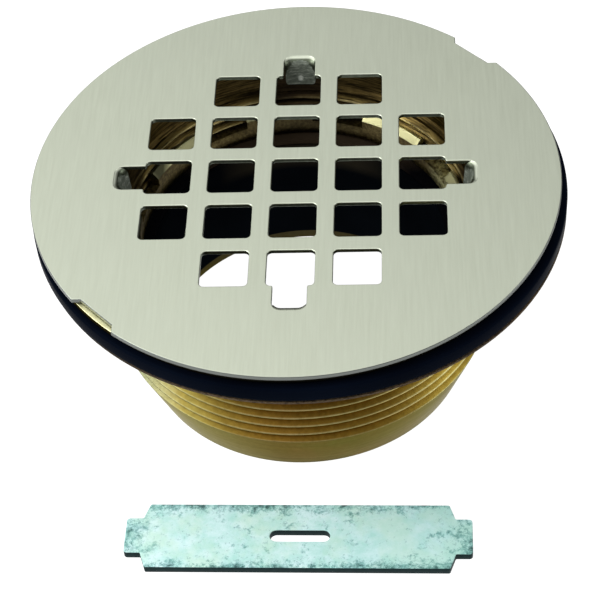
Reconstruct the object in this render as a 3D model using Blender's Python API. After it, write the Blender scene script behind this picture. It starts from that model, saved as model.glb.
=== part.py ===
"""A compression floor drain: a snap-in strainer grate on a threaded brass body, with its sealing
washers, the compression nut and gasket inside it, and the flat key that turns the nut.

The set stands on z = 0. The drain's axis is parallel to Z, and the key lies in front of the drain.
Heights inside the drain are stated as depths below the strainer's top face.
"""
import math

import bmesh
import bpy
from mathutils import Matrix, Vector

# ---- Driving dimensions, in metres --------------------------------------------------------------
GAP = 0.0003                    # clearance between neighbouring pieces
DRAIN_HEIGHT = 0.0500           # from the foot of the body to the strainer's top face
DRAIN_Y = 0.0044                # the drain's axis stands this far behind the set's origin
TURNED_SEGMENTS = 40            # facets around every turned piece
FLANK_SLOPE = math.tan(math.radians(30.0))   # 60 degree screw threads

# Strainer: one pressed sheet with a grid of square holes and four spring tabs.
STRAINER_RADIUS = 0.0540
STRAINER_SEGMENTS = 120
SHEET = 0.0010
HOLE_SIZE = 0.00945
HOLE_PITCH = 0.0130
HOLE_CORNER = 0.0010
GRID_REACH = 2                  # holes on each side of the middle one
SLOT_WIDTH = 0.0067
SLOT_END = 0.0375               # radius at which a tab starts to bend out of its slot
SLOT_CORNER = 0.0018
TAB_WIDTH = 0.0064
TAB_BEND = 0.0020               # outer radius of the bend
TAB_DEPTH = 0.0058              # how far the tips reach below the top face
TAB_LEAN = math.radians(14.0)   # the tabs lean in towards the axis
TAB_ROOT = 0.0007               # overlap of tab and sheet
TAB_SKIN = 0.00002              # keeps the tab's root inside the sheet's own faces
NOTCH_FLAT_AT = 0.05235         # distance of a rim notch's flat from the axis
NOTCH_FLAT_HALF = 0.00475
NOTCH_DEPTH = 0.0040            # past the rim

# Drain body: flange, outer thread, tapered skirt, and the stepped bore.
FLANGE_RADIUS = 0.0533
FLANGE_DEPTHS = (SHEET + GAP, 0.0026)
NECK_RADIUS = 0.0397
OUTER_THREAD_RADIUS = 0.0401
OUTER_ROOT_RADIUS = 0.0388
THREAD_PITCH = 0.00254
CREST_FLAT = 0.00035
OUTER_THREAD_DEPTHS = (0.0088, 0.0369)
FRONT_CREST_DEPTH = 0.03448     # a crest of the outer thread passes the front at this depth
SKIRT_FOOT_RADIUS = 0.0353
LIP_RADIUS = 0.0312
LIP_DEPTH = 0.0476
COUNTERBORE_RADIUS = 0.0376
COUNTERBORE_DEPTH = 0.0083
INNER_ROOT_RADIUS = 0.0368
INNER_CREST_RADIUS = 0.0356
INNER_THREAD_DEPTHS = (0.0106, 0.0240)
GASKET_BORE_RADIUS = 0.0358
GASKET_BORE_TOP = 0.0252
SEAT_TOP_DEPTH = 0.0400
SEAT_FOOT_RADIUS = 0.0326

# Sealing washers under the flange, a little to one side of the neck. They slide down over the thread.
WASHER_RADIUS = 0.0547
WASHER_BORE_RADIUS = 0.0410
WASHER_SHIFT_X = 0.0006
RUBBER_DEPTHS = (0.0029, 0.0064)
FIBRE_DEPTHS = (0.0067, 0.0073)

# Compression nut, slip ring and gasket inside the body.
NUT_DEPTHS = (0.0120, 0.0187)
NUT_BORE_RADIUS = 0.0330
NUT_BORE_CHAMFER = 0.0013       # a 45 degree cone around the mouth of the nut's bore
NUT_ROOT_RADIUS = 0.0352
NUT_CREST_RADIUS = 0.0364
NOTCH_COUNT = 8
NUT_NOTCH_SPREAD = math.radians(19.8)   # the notches' sides are radial
NUT_NOTCH_FLOOR = 0.0152
NUT_NOTCH_ANGLE = math.radians(31.5)
SLIP_RING_DEPTHS = (0.0190, 0.0202)
SLIP_RING_RADII = (0.0310, 0.0349)
GASKET_DEPTHS = (0.0205, 0.0473)
GASKET_RADII = (0.0304, 0.0349)

# Key: a flat bar with a tongue at each end and a slot for a screwdriver.
KEY_THICKNESS = 0.0020
KEY_WIDTH = 0.0155
KEY_BODY_HALF = 0.0319
KEY_HALF_LENGTH = 0.0353        # short enough to go down the bore
KEY_TONGUE_WIDTH = 0.0085
KEY_CHAMFER = 0.0012            # the shoulders lean in by this much
KEY_CORNER = 0.0004             # cut off the tongues' corners
KEY_SLOT = (0.0123, 0.0028)
KEY_SLOT_SHIFT = 0.0004         # the slot's middle lies this far to the right of the bar's
KEY_PLACE = (-0.00025, -0.05094)
KEY_TURN = math.radians(-0.8)


def level(depth):
    """Height above the floor of a depth below the strainer's top face."""
    return DRAIN_HEIGHT - depth


# ---- Small modelling tools ----------------------------------------------------------------------
def clear_scene():
    for thing in list(bpy.data.objects):
        bpy.data.objects.remove(thing, do_unlink=True)


def material(name, colour, metallic, roughness):
    made = bpy.data.materials.new(name)
    made.use_nodes = True
    shader = made.node_tree.nodes["Principled BSDF"]
    shader.inputs["Base Color"].default_value = (*colour, 1.0)
    shader.inputs["Metallic"].default_value = metallic
    shader.inputs["Roughness"].default_value = roughness
    return made


def add_object(name, shape, look, place):
    """Turn a bmesh into a named object with outward faces."""
    bmesh.ops.recalc_face_normals(shape, faces=shape.faces)
    mesh = bpy.data.meshes.new(name)
    shape.to_mesh(mesh)
    shape.free()
    mesh.shade_smooth()
    mesh.set_sharp_from_angle(angle=math.radians(30.0))
    if look:
        mesh.materials.append(look)
    made = bpy.data.objects.new(name, mesh)
    made.location = place
    bpy.context.collection.objects.link(made)
    return made


def turned(profile):
    """Spin a closed outline of (radius, height) points about Z."""
    shape = bmesh.new()
    corners = [shape.verts.new((radius, 0.0, height)) for radius, height in profile]
    edges = [
        shape.edges.new((corner, corners[(i + 1) % len(corners)]))
        for i, corner in enumerate(corners)
    ]
    bmesh.ops.spin(
        shape, geom=corners + edges, cent=(0, 0, 0), axis=(0, 0, 1),
        angle=math.tau, steps=TURNED_SEGMENTS, use_merge=True,
    )
    bmesh.ops.remove_doubles(shape, verts=shape.verts, dist=1e-6)
    return shape


def ring_profile(radii, depths, chamfer):
    """A washer's outline, with its outer corners chamfered."""
    inner, outer = radii
    top, bottom = level(depths[0]), level(depths[1])
    return [
        (inner, top), (inner, bottom), (outer - chamfer, bottom), (outer, bottom + chamfer),
        (outer, top - chamfer), (outer - chamfer, top),
    ]


def add_prism(shape, outline, bottom, top):
    """Add to a bmesh an upright prism over a flat outline."""
    face = shape.faces.new([shape.verts.new((x, y, bottom)) for x, y in outline])
    lifted = bmesh.ops.extrude_face_region(shape, geom=[face])["geom"]
    raised = [item for item in lifted if isinstance(item, bmesh.types.BMVert)]
    bmesh.ops.translate(shape, verts=raised, vec=(0, 0, top - bottom))


def arc(centre, radius, start, end, steps):
    """Points on an arc; the angles are in degrees."""
    angles = [math.radians(start + (end - start) * i / steps) for i in range(steps + 1)]
    return [
        (centre[0] + radius * math.cos(a), centre[1] + radius * math.sin(a)) for a in angles
    ]


def rounded_rectangle(centre, size, corner, steps):
    x = size[0] / 2 - corner
    y = size[1] / 2 - corner
    outline = []
    for side_x, side_y, start in ((1, 1, 0), (-1, 1, 90), (-1, -1, 180), (1, -1, 270)):
        middle = (centre[0] + side_x * x, centre[1] + side_y * y)
        outline += arc(middle, corner, start, start + 90, steps)
    return outline


def rotated(outline, angle):
    c, s = math.cos(angle), math.sin(angle)
    return [(x * c - y * s, x * s + y * c) for x, y in outline]


def cut_or_join(target, tool, operation):
    """Combine two objects with a live Boolean, and hide the tool."""
    step = target.modifiers.new(f"{operation.lower()}_{tool.name}", "BOOLEAN")
    step.operation = operation
    step.solver = "EXACT"
    step.object = tool
    tool.hide_render = True
    tool.display_type = "WIRE"


def thread_ridge(root, crest, depths, crest_depth, crest_angle):
    """A right-hand helical ridge, sunk into the wall that it stands on.

    The ridge passes crest_depth at crest_angle. It points outwards where crest is the larger
    radius, and it fades into the wall over an eighth of a turn at both ends. Its corners lie
    between those of the turned wall, so that the two never share an edge.
    """
    outwards = 1 if crest > root else -1
    foot = root - outwards * 0.0005
    buried = root - outwards * 0.0002
    foot_half = CREST_FLAT / 2 + abs(crest - foot) * FLANK_SLOPE
    step = math.tau / TURNED_SEGMENTS
    rise = THREAD_PITCH / TURNED_SEGMENTS
    first_angle = (math.floor(crest_angle / step) + 0.5) * step
    crest_height = level(crest_depth) + (first_angle - crest_angle) / math.tau * THREAD_PITCH
    down = int((crest_height - level(depths[1])) / rise)
    up = int((level(depths[0]) - crest_height) / rise)
    fade = TURNED_SEGMENTS // 8
    shape = bmesh.new()
    last = None
    for i in range(-down, up + 1):
        height = crest_height + i * rise
        strength = min(1.0, (i + down) / fade, (up - i) / fade)
        tip = buried + (crest - buried) * strength
        section = (
            (foot, height - foot_half), (tip, height - CREST_FLAT / 2),
            (tip, height + CREST_FLAT / 2), (foot, height + foot_half),
        )
        spin = Matrix.Rotation(first_angle + i * step, 4, "Z")
        corners = [shape.verts.new(spin @ Vector((r, 0, z))) for r, z in section]
        if last:
            for k in range(4):
                shape.faces.new((last[k], last[k - 1], corners[k - 1], corners[k]))
        else:
            shape.faces.new(corners)
        last = corners
    shape.faces.new(list(reversed(last)))
    return shape


# ---- The pieces ---------------------------------------------------------------------------------
def hole_centres():
    """The grid of holes without its four corners."""
    reach = range(-GRID_REACH, GRID_REACH + 1)
    return [
        (column * HOLE_PITCH, row * HOLE_PITCH)
        for row in reach for column in reach if abs(row) + abs(column) < 2 * GRID_REACH
    ]


def slot_outline():
    """The slot that a tab was bent out of, for the tab on the +X side."""
    start = GRID_REACH * HOLE_PITCH
    half = SLOT_WIDTH / 2
    x = SLOT_END - SLOT_CORNER
    y = half - SLOT_CORNER
    return (
        [(start, half), (start, -half)]
        + arc((x, -y), SLOT_CORNER, -90, 0, 4)
        + arc((x, y), SLOT_CORNER, 0, 90, 4)
    )


def rim_notch_outline():
    """A prising notch in the rim on the +X side; its sides flare by 45 degrees."""
    out = NOTCH_FLAT_AT + NOTCH_DEPTH
    wide = NOTCH_FLAT_HALF + NOTCH_DEPTH
    return [
        (NOTCH_FLAT_AT, NOTCH_FLAT_HALF), (NOTCH_FLAT_AT, -NOTCH_FLAT_HALF),
        (out, -wide), (out, wide),
    ]


def tab_profile():
    """The bent strip of a tab on the +X side, as (x, height) points."""
    top = level(0) - TAB_SKIN
    centre = (SLOT_END, level(TAB_BEND))
    front = arc(centre, TAB_BEND - TAB_SKIN, 90, 180 - math.degrees(TAB_LEAN), 5)
    back = arc(centre, TAB_BEND - SHEET + TAB_SKIN, 180 - math.degrees(TAB_LEAN), 90, 3)
    fall = front[-1][1] - level(TAB_DEPTH)
    lean = fall * math.tan(TAB_LEAN)
    tip = (front[-1][0] - lean, level(TAB_DEPTH))
    tip_back = (back[0][0] - lean, level(TAB_DEPTH))
    bottom = level(SHEET) + TAB_SKIN
    return [(SLOT_END + TAB_ROOT, top)] + front + [tip, tip_back] + back + [
        (SLOT_END + TAB_ROOT, bottom)
    ]


def add_tab(shape, quarter):
    """Add the tab on one of the four sides to a bmesh."""
    turn = Matrix.Rotation(quarter * math.pi / 2, 4, "Z")
    corners = [shape.verts.new((x, -TAB_WIDTH / 2, z)) for x, z in tab_profile()]
    face = shape.faces.new(corners)
    lifted = bmesh.ops.extrude_face_region(shape, geom=[face])["geom"]
    far_side = [item for item in lifted if isinstance(item, bmesh.types.BMVert)]
    bmesh.ops.translate(shape, verts=far_side, vec=(0, TAB_WIDTH, 0))
    bmesh.ops.transform(shape, verts=corners + far_side, matrix=turn)


def make_strainer(place, look):
    sheet = bmesh.new()
    rim = arc((0, 0), STRAINER_RADIUS, 0, 360, STRAINER_SEGMENTS)[:-1]
    add_prism(sheet, rim, level(SHEET), level(0))
    strainer = add_object("strainer", sheet, look, place)

    holes = bmesh.new()
    for centre in hole_centres():
        outline = rounded_rectangle(centre, (HOLE_SIZE, HOLE_SIZE), HOLE_CORNER, 3)
        add_prism(holes, outline, level(2 * SHEET), level(-SHEET))
    cut_or_join(strainer, add_object("hole_cutter", holes, None, place), "DIFFERENCE")

    slots = bmesh.new()
    for quarter in range(4):
        outline = rotated(slot_outline(), quarter * math.pi / 2)
        add_prism(slots, outline, level(2 * SHEET), level(-SHEET))
    for side in (0.25 * math.pi, 1.25 * math.pi):
        outline = rotated(rim_notch_outline(), side)
        add_prism(slots, outline, level(2 * SHEET), level(-SHEET))
    cut_or_join(strainer, add_object("slot_cutter", slots, None, place), "DIFFERENCE")

    tabs = bmesh.new()
    for quarter in range(4):
        add_tab(tabs, quarter)
    cut_or_join(strainer, add_object("tab_strips", tabs, None, place), "UNION")
    return strainer


def body_profile():
    """The body's outline without its threads, from the flange down, then up the bore."""
    flange_top, flange_foot = (level(depth) for depth in FLANGE_DEPTHS)
    edge = 0.0003
    shoulder = (OUTER_THREAD_RADIUS - OUTER_ROOT_RADIUS) * FLANK_SLOPE
    thread_top = level(OUTER_THREAD_DEPTHS[0]) + 0.0010
    skirt_top = level(OUTER_THREAD_DEPTHS[1])
    inner_thread_top = level(INNER_THREAD_DEPTHS[0]) + 0.0014
    return [
        (FLANGE_RADIUS - edge, flange_top),
        (FLANGE_RADIUS, flange_top - edge),
        (FLANGE_RADIUS, flange_foot + edge),
        (FLANGE_RADIUS - edge, flange_foot),
        (NECK_RADIUS, flange_foot),
        (NECK_RADIUS, thread_top),
        (OUTER_ROOT_RADIUS, thread_top - shoulder),
        (OUTER_ROOT_RADIUS, skirt_top + shoulder),
        (OUTER_THREAD_RADIUS, skirt_top),
        (SKIRT_FOOT_RADIUS + edge, 3 * edge),
        (SKIRT_FOOT_RADIUS - edge, 0.0),
        (LIP_RADIUS + edge, 0.0),
        (LIP_RADIUS, edge),
        (LIP_RADIUS, level(LIP_DEPTH)),
        (SEAT_FOOT_RADIUS, level(LIP_DEPTH)),
        (GASKET_BORE_RADIUS, level(SEAT_TOP_DEPTH)),
        (GASKET_BORE_RADIUS, level(GASKET_BORE_TOP)),
        (INNER_ROOT_RADIUS, level(INNER_THREAD_DEPTHS[1]) - 0.0008),
        (INNER_ROOT_RADIUS, inner_thread_top),
        (COUNTERBORE_RADIUS, level(COUNTERBORE_DEPTH)),
        (COUNTERBORE_RADIUS, flange_top - edge),
        (COUNTERBORE_RADIUS + edge, flange_top),
    ]


def make_body(place, look):
    body = add_object("drain_body", turned(body_profile()), look, place)
    front = -math.pi / 2
    outer = thread_ridge(
        OUTER_ROOT_RADIUS, OUTER_THREAD_RADIUS, OUTER_THREAD_DEPTHS, FRONT_CREST_DEPTH, front
    )
    cut_or_join(body, add_object("outer_thread", outer, None, place), "UNION")
    inner = thread_ridge(
        INNER_ROOT_RADIUS, INNER_CREST_RADIUS, INNER_THREAD_DEPTHS, NUT_DEPTHS[0], front
    )
    cut_or_join(body, add_object("inner_thread", inner, None, place), "UNION")
    return body


def make_nut(place, look):
    """A castellated ring whose thread runs midway between the turns of the body's."""
    top, bottom = (level(depth) for depth in NUT_DEPTHS)
    edge = 0.0005
    nut = add_object("compression_nut", turned([
        (NUT_BORE_RADIUS + NUT_BORE_CHAMFER, top), (NUT_BORE_RADIUS, top - NUT_BORE_CHAMFER),
        (NUT_BORE_RADIUS, bottom), (NUT_ROOT_RADIUS - edge, bottom),
        (NUT_ROOT_RADIUS, bottom + edge), (NUT_ROOT_RADIUS, top - edge),
        (NUT_ROOT_RADIUS - edge, top),
    ]), look, place)
    crest_depth = NUT_DEPTHS[0] + 1.5 * THREAD_PITCH
    ridge = thread_ridge(
        NUT_ROOT_RADIUS, NUT_CREST_RADIUS, (NUT_DEPTHS[0] + 0.0014, NUT_DEPTHS[1] - 0.0013),
        crest_depth, -math.pi / 2,
    )
    cut_or_join(nut, add_object("nut_thread", ridge, None, place), "UNION")

    notches = bmesh.new()
    side = math.tan(NUT_NOTCH_SPREAD / 2)
    inside, outside = NUT_BORE_RADIUS - 0.002, NUT_CREST_RADIUS + 0.002
    outline = [
        (inside, -inside * side), (outside, -outside * side),
        (outside, outside * side), (inside, inside * side),
    ]
    for i in range(NOTCH_COUNT):
        turned_outline = rotated(outline, NUT_NOTCH_ANGLE + i * math.tau / NOTCH_COUNT)
        add_prism(notches, turned_outline, level(NUT_NOTCH_FLOOR), top + 0.001)
    cut_or_join(nut, add_object("nut_notch_cutter", notches, None, place), "DIFFERENCE")
    return nut


def make_gasket(place, look):
    """A thick rubber sleeve whose foot is tapered to suit the seat in the body."""
    inner, outer = GASKET_RADII
    top, bottom = (level(depth) for depth in GASKET_DEPTHS)
    edge = 0.0008
    taper_foot = SEAT_FOOT_RADIUS - 0.0004
    return add_object("compression_gasket", turned([
        (inner + edge, top), (inner, top - edge), (inner, bottom + edge), (inner + edge, bottom),
        (taper_foot - edge, bottom), (taper_foot, bottom + edge),
        (outer, level(SEAT_TOP_DEPTH + 0.0003)), (outer, top - edge), (outer - edge, top),
    ]), look, place)


def key_outline():
    """The bar's outline about its own centre, anticlockwise from the upper right shoulder."""
    tongue = KEY_TONGUE_WIDTH / 2
    shoulder = KEY_WIDTH / 2
    right = [
        (KEY_HALF_LENGTH, tongue - KEY_CORNER), (KEY_HALF_LENGTH - KEY_CORNER, tongue),
        (KEY_BODY_HALF, tongue), (KEY_BODY_HALF - KEY_CHAMFER, shoulder),
    ]
    upper = right + [(-x, y) for x, y in reversed(right)]
    return upper + [(x, -y) for x, y in reversed(upper)]


def make_key(look):
    place = (KEY_PLACE[0], KEY_PLACE[1], 0.0)
    bar = bmesh.new()
    add_prism(bar, key_outline(), 0.0, KEY_THICKNESS)
    key = add_object("tightening_key", bar, look, place)
    slot = bmesh.new()
    outline = rounded_rectangle((KEY_SLOT_SHIFT, 0), KEY_SLOT, KEY_SLOT[1] / 2 - 0.00001, 5)
    add_prism(slot, outline, -KEY_THICKNESS, 2 * KEY_THICKNESS)
    cutter = add_object("key_slot_cutter", slot, None, place)
    cut_or_join(key, cutter, "DIFFERENCE")
    for thing in (key, cutter):
        thing.rotation_euler.z = KEY_TURN
    return key


def main():
    clear_scene()
    steel = material("brushed_stainless", (0.62, 0.65, 0.56), 1.0, 0.35)
    brass = material("cast_brass", (0.60, 0.44, 0.17), 1.0, 0.35)
    rubber = material("black_rubber", (0.015, 0.016, 0.022), 0.0, 0.45)
    fibre = material("grey_fibre", (0.20, 0.17, 0.12), 0.0, 0.9)
    plastic = material("black_plastic", (0.02, 0.02, 0.02), 0.0, 0.5)
    zinc = material("zinc_plate", (0.50, 0.62, 0.60), 0.8, 0.45)

    axis = (0.0, DRAIN_Y, 0.0)
    shifted = (WASHER_SHIFT_X, DRAIN_Y, 0.0)
    washer_radii = (WASHER_BORE_RADIUS, WASHER_RADIUS)
    make_strainer(axis, steel)
    make_body(axis, brass)
    rubber_ring = turned(ring_profile(washer_radii, RUBBER_DEPTHS, 0.0006))
    add_object("flange_gasket", rubber_ring, rubber, shifted)
    fibre_ring = turned(ring_profile(washer_radii, FIBRE_DEPTHS, 0.0001))
    add_object("friction_washer", fibre_ring, fibre, shifted)
    make_nut(axis, brass)
    slip_ring = turned(ring_profile(SLIP_RING_RADII, SLIP_RING_DEPTHS, 0.0002))
    add_object("slip_ring", slip_ring, plastic, axis)
    make_gasket(axis, rubber)
    make_key(zinc)


main()
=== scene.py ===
"""The look of a compression floor drain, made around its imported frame.

Every visible piece of the drain and its key is remade here with finer edges and threads, in
millimetres about the drain's axis, with heights above the surface that it stands on. Sizes come
from the frame's own boxes where a box tells them.
"""
import math

import bmesh
import bpy
from mathutils import Matrix, Vector


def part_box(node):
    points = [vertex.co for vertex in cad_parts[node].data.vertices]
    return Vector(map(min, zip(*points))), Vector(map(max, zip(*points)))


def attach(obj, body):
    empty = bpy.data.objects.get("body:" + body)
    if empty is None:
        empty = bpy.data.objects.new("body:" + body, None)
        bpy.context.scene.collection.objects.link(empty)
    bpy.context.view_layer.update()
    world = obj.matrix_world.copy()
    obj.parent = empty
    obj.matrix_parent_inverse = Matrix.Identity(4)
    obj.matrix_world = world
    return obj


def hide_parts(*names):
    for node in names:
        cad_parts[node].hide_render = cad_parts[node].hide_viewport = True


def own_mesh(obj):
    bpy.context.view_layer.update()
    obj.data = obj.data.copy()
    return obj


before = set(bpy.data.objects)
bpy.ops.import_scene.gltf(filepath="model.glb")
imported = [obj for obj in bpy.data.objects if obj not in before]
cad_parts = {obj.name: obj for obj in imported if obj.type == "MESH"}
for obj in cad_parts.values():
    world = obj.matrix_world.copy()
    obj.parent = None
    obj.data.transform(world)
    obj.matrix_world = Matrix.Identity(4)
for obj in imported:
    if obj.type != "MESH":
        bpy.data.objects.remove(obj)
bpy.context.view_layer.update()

# ---- Sizes, in millimetres ----------------------------------------------------------------------
MM = 0.001
COLUMNS = 144                   # facets around every turned piece
EDGE_STEPS = 4                  # facets across a rounded edge
FACE_SUPPORT = 0.04             # width of the strip that keeps a flat face's shading flat


def box_mm(node):
    """A node's lowest and highest corners, in millimetres."""
    low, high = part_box(node)
    return low / MM, high / MM


def ring_mm(node):
    """(centre x, centre y, outer radius, bottom, top) of a round node."""
    low, high = box_mm(node)
    middle = (low + high) / 2
    return middle.x, middle.y, (high.y - low.y) / 2, low.z, high.z


AXIS_X, AXIS_Y, FLANGE_RADIUS, FOOT, FLANGE_TOP = ring_mm("drain_body")
_, _, STRAINER_RADIUS, TAB_FOOT, TOP = ring_mm("strainer")

# The strainer
SHEET = 1.0
SHEARED_EDGE = 0.18             # rounding along the edges of cut sheet
HOLE_SIZE = 9.45
HOLE_PITCH = 13.0
HOLE_CORNER = 1.0
GRID_REACH = 2                  # holes on each side of the middle one
SLOT_WIDTH = 6.7
SLOT_ROOT_CORNER = 0.3
SLOT_END = 37.5                 # radius at which a tab starts to bend
SLOT_CORNER = 1.8
SLOT_LAP = 0.45                 # the sheet runs on over the start of the bend
TAB_WIDTH = 6.4
TAB_BEND = 2.0
TAB_BEND_STEPS = 10
TAB_STRAIGHT_STEPS = 14
TAB_STEPS_ACROSS = 16
TAB_ROOT = 0.9                  # a tab reaches this far back into the sheet
TAB_LEAN = 14.0                 # degrees
TAB_SKIN = 0.03                 # the bend starts this far inside the sheet's faces
TAB_CORNER = 0.9
TAB_CURL_LIMIT = 0.93           # share of the slot's corner that a tab's curl follows
TAB_UNCURL = 0.6                # share of the curl that is gone at the tip
TAB_EDGE = 0.25                 # the tab thins by TAB_EDGE_TRIM over this much of each side
TAB_EDGE_TRIM = 0.16
TAB_DULL_FROM = 0.50            # the scratched part of a tab starts at this depth; it is darkened as painted shade
TAB_DULL_ARCH = 2.6             # and this much lower at the tab's sides
DIMPLE_RISE = 1.3               # height of a tab's dimple above the tip
DIMPLE_SIZE = 0.7
DIMPLE_DEPTH = 0.5
NOTCH_ANGLES = (45.0, 225.0)    # degrees
NOTCH_FLAT_AT = 52.35
NOTCH_FLAT_HALF = 4.75

# The screw threads: the body's two and the nut's
PITCH = 2.54
# One pitch of a thread: (share of the pitch below a crest, share of the crest's height)
THREAD_SHAPE = (
    (-0.095, 0.90), (-0.045, 1.0), (0.045, 1.0), (0.095, 0.90),
    (0.345, 0.06), (0.40, 0.0), (0.60, 0.0), (0.655, 0.06),
)

# The body: radii, and depths below the strainer's top face
FLANGE_UNDER = 2.6              # depth
NECK_RADIUS = 39.7
NECK_END = 8.0                  # depth
THREAD_CREST = 40.1
THREAD_ROOT = 38.8
THREAD_TOP = 8.6                # depth
THREAD_END = 36.9               # depth
THREAD_RUNOUT = 0.75            # height of the cone below the last turn
THREAD_FRONT = 34.46            # depth of one crest at the front
THREAD_FADE = 0.9               # a thread grows to its full height over this much
FOOT_RADIUS = 35.3
LIP_RADIUS = 31.2
LIP_TOP = 47.6                  # depth
SEAT_RADIUS = 32.6              # the cone from here to the bore holds the gasket
BORE_RADIUS = 35.8
BORE_END = 40.0                 # depth
BORE_TOP = 25.4                 # depth
INNER_ROOT = 36.8
INNER_CREST = 35.6
INNER_TOP = 9.3                 # depth
INNER_END = 25.0                # depth
INNER_FRONT = 12.0              # depth of one crest at the front
COUNTERBORE_RADIUS = 37.6
COUNTERBORE_FLOOR = 8.3         # depth

# The nut
NUT_ROOT = 35.2
NUT_CREST = 36.4
NUT_THREAD_INSET = (0.9, 0.6)   # the thread starts and ends this far inside the nut's faces
NUT_THREAD_FADE = 0.6
NUT_BORE = 33.0
NUT_BORE_CHAMFER = 1.3          # a 45 degree cone around the mouth of the bore
NUT_NOTCHES = 8
NUT_NOTCH_ANGLE = 31.5          # degrees
NUT_NOTCH_SPREAD = 19.8         # degrees; the notches' sides are radial
NUT_NOTCH_FLOOR = 15.2          # depth
NUT_NOTCH_EDGE = 0.15

# The washers and the gasket
WASHER_BORE = 41.0
WASHER_PLAY = 0.2               # the fibre washer is smaller than its box by this much
SLIP_BORE = 31.0
GASKET_BORE = 30.4
GASKET_FOOT = 32.2
GASKET_SHOULDER = 40.3          # depth
GASKET_EDGE = 0.8
GASKET_SHOULDER_EDGE = 1.5

# The key, measured from its own middle
KEY_TONGUE = 8.5
KEY_WIDTH = 15.5
# A quarter of its outline: (x, y, fillet radius)
KEY_QUARTER = (
    (35.3, KEY_TONGUE / 2, 0.7), (31.9, KEY_TONGUE / 2, 0.3), (30.7, KEY_WIDTH / 2, 0.4),
)
KEY_SLOT_LENGTH = 12.3
KEY_SLOT_WIDTH = 2.8
KEY_SLOT_AT = 0.4               # the slot lies off the middle by this much
KEY_SLOT_STEPS = 10
KEY_TURN = -0.8                 # degrees

# The studio, in metres. The sky's brightness is SKY_OFFSET + direction . SKY_SLOPE, kept between
# SKY_DARK and SKY_BRIGHT.
SKY_SLOPE = (-0.92, 0.0, 1.9)
SKY_OFFSET = -0.54
SKY_DARK = 0.10
SKY_BRIGHT = 1.8
FLOOR_REACH = 6.0
FLOOR_DROP = 0.0001             # keeps the floor clear of the pieces that stand on it
SOFTBOX_SIZE = 0.3
SOFTBOX_AIM = (0, -0.02, 0.02)
LEFT_SOFTBOX = ((-0.45, -0.12, 0.38), 1.7)      # place and watts
RIGHT_SOFTBOX = ((0.6, -0.05, 0.35), 1.0)
LENS = 114.9                    # millimetres, on a sensor of SENSOR_WIDTH
SENSOR_WIDTH = 36.0
CAMERA_PLACE = (0.02354, AXIS_Y * MM - 0.28191, 0.31945)
CAMERA_AIM = (0.00051, AXIS_Y * MM - 0.01629, 0.030)
CAMERA_ROLL = -4.46             # degrees


# ---- Shapes -------------------------------------------------------------------------------------
def level(depth):
    """Height of a depth below the strainer's top face."""
    return TOP - depth


def arc(centre, radius, start, end, steps):
    """Points on an arc; the angles are in degrees."""
    angles = [math.radians(start + (end - start) * i / steps) for i in range(steps + 1)]
    return [
        (centre[0] + radius * math.cos(a), centre[1] + radius * math.sin(a)) for a in angles
    ]


def filleted(corners, closed=True):
    """Round the corners of an outline. Each corner is (x, y) or (x, y, fillet radius)."""
    outline = []
    count = len(corners)
    for i, corner in enumerate(corners):
        here = Vector(corner[:2])
        radius = corner[2] if len(corner) > 2 else 0.0
        if not radius or (not closed and i in (0, count - 1)):
            outline.append(tuple(here))
            continue
        back = (Vector(corners[i - 1][:2]) - here).normalized()
        ahead = (Vector(corners[(i + 1) % count][:2]) - here).normalized()
        half = back.angle(ahead) / 2
        centre = here + (back + ahead).normalized() * (radius / math.sin(half))
        first = here + back * (radius / math.tan(half)) - centre
        last = here + ahead * (radius / math.tan(half)) - centre
        sweep = first.angle_signed(last)
        for step in range(EDGE_STEPS + 1):
            turn = Matrix.Rotation(-sweep * step / EDGE_STEPS, 2)
            outline.append(tuple(centre + turn @ first))
    return outline


def rotated(outline, degrees):
    """Turn an outline anticlockwise about its origin."""
    turn = Matrix.Rotation(math.radians(degrees), 2)
    return [tuple(turn @ Vector(point)) for point in outline]


def inset(outline, distance):
    """Move an outline to its left by a distance, keeping its number of points."""
    moved = []
    for i, point in enumerate(outline):
        here = Vector(point)
        back = (here - Vector(outline[i - 1])).normalized()
        ahead = (Vector(outline[(i + 1) % len(outline)]) - here).normalized()
        normal = Vector((-back.y - ahead.y, back.x + ahead.x)).normalized()
        stretch = max(0.5, normal.dot(Vector((-back.y, back.x))))
        moved.append(tuple(here + normal * (distance / stretch)))
    return moved


def add_plate(shape, outlines, low, high, edge, place=None):
    """Add a flat plate with rounded edges.

    Its outer outline runs anticlockwise and its holes run clockwise.
    """
    steps = EDGE_STEPS if edge else 0
    quarter = [math.radians(90 * step / max(1, steps)) for step in range(steps + 1)]
    rounding = [(edge * (1 - math.sin(a)), edge * (1 - math.cos(a))) for a in quarter]
    if edge:
        rounding.insert(0, (edge + FACE_SUPPORT, 0.0))
    sides = [(inwards, high - down) for inwards, down in rounding]
    sides += [(inwards, low + up) for inwards, up in reversed(rounding)]
    rims = {low: [], high: []}
    made = []
    for outline in outlines:
        rings = [
            [shape.verts.new((x, y, height)) for x, y in inset(outline, inwards)]
            for inwards, height in sides
        ]
        for upper, lower in zip(rings, rings[1:]):
            for i in range(len(upper)):
                shape.faces.new((upper[i - 1], lower[i - 1], lower[i], upper[i]))
        made += [corner for ring in rings for corner in ring]
        rims[high].append(rings[0])
        rims[low].append(rings[-1])
    for loops in rims.values():
        edges = [
            shape.edges.get((loop[i - 1], loop[i])) for loop in loops for i in range(len(loop))
        ]
        bmesh.ops.triangle_fill(shape, use_beauty=True, edges=edges)
    if place:
        bmesh.ops.transform(shape, verts=made, matrix=place)


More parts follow.
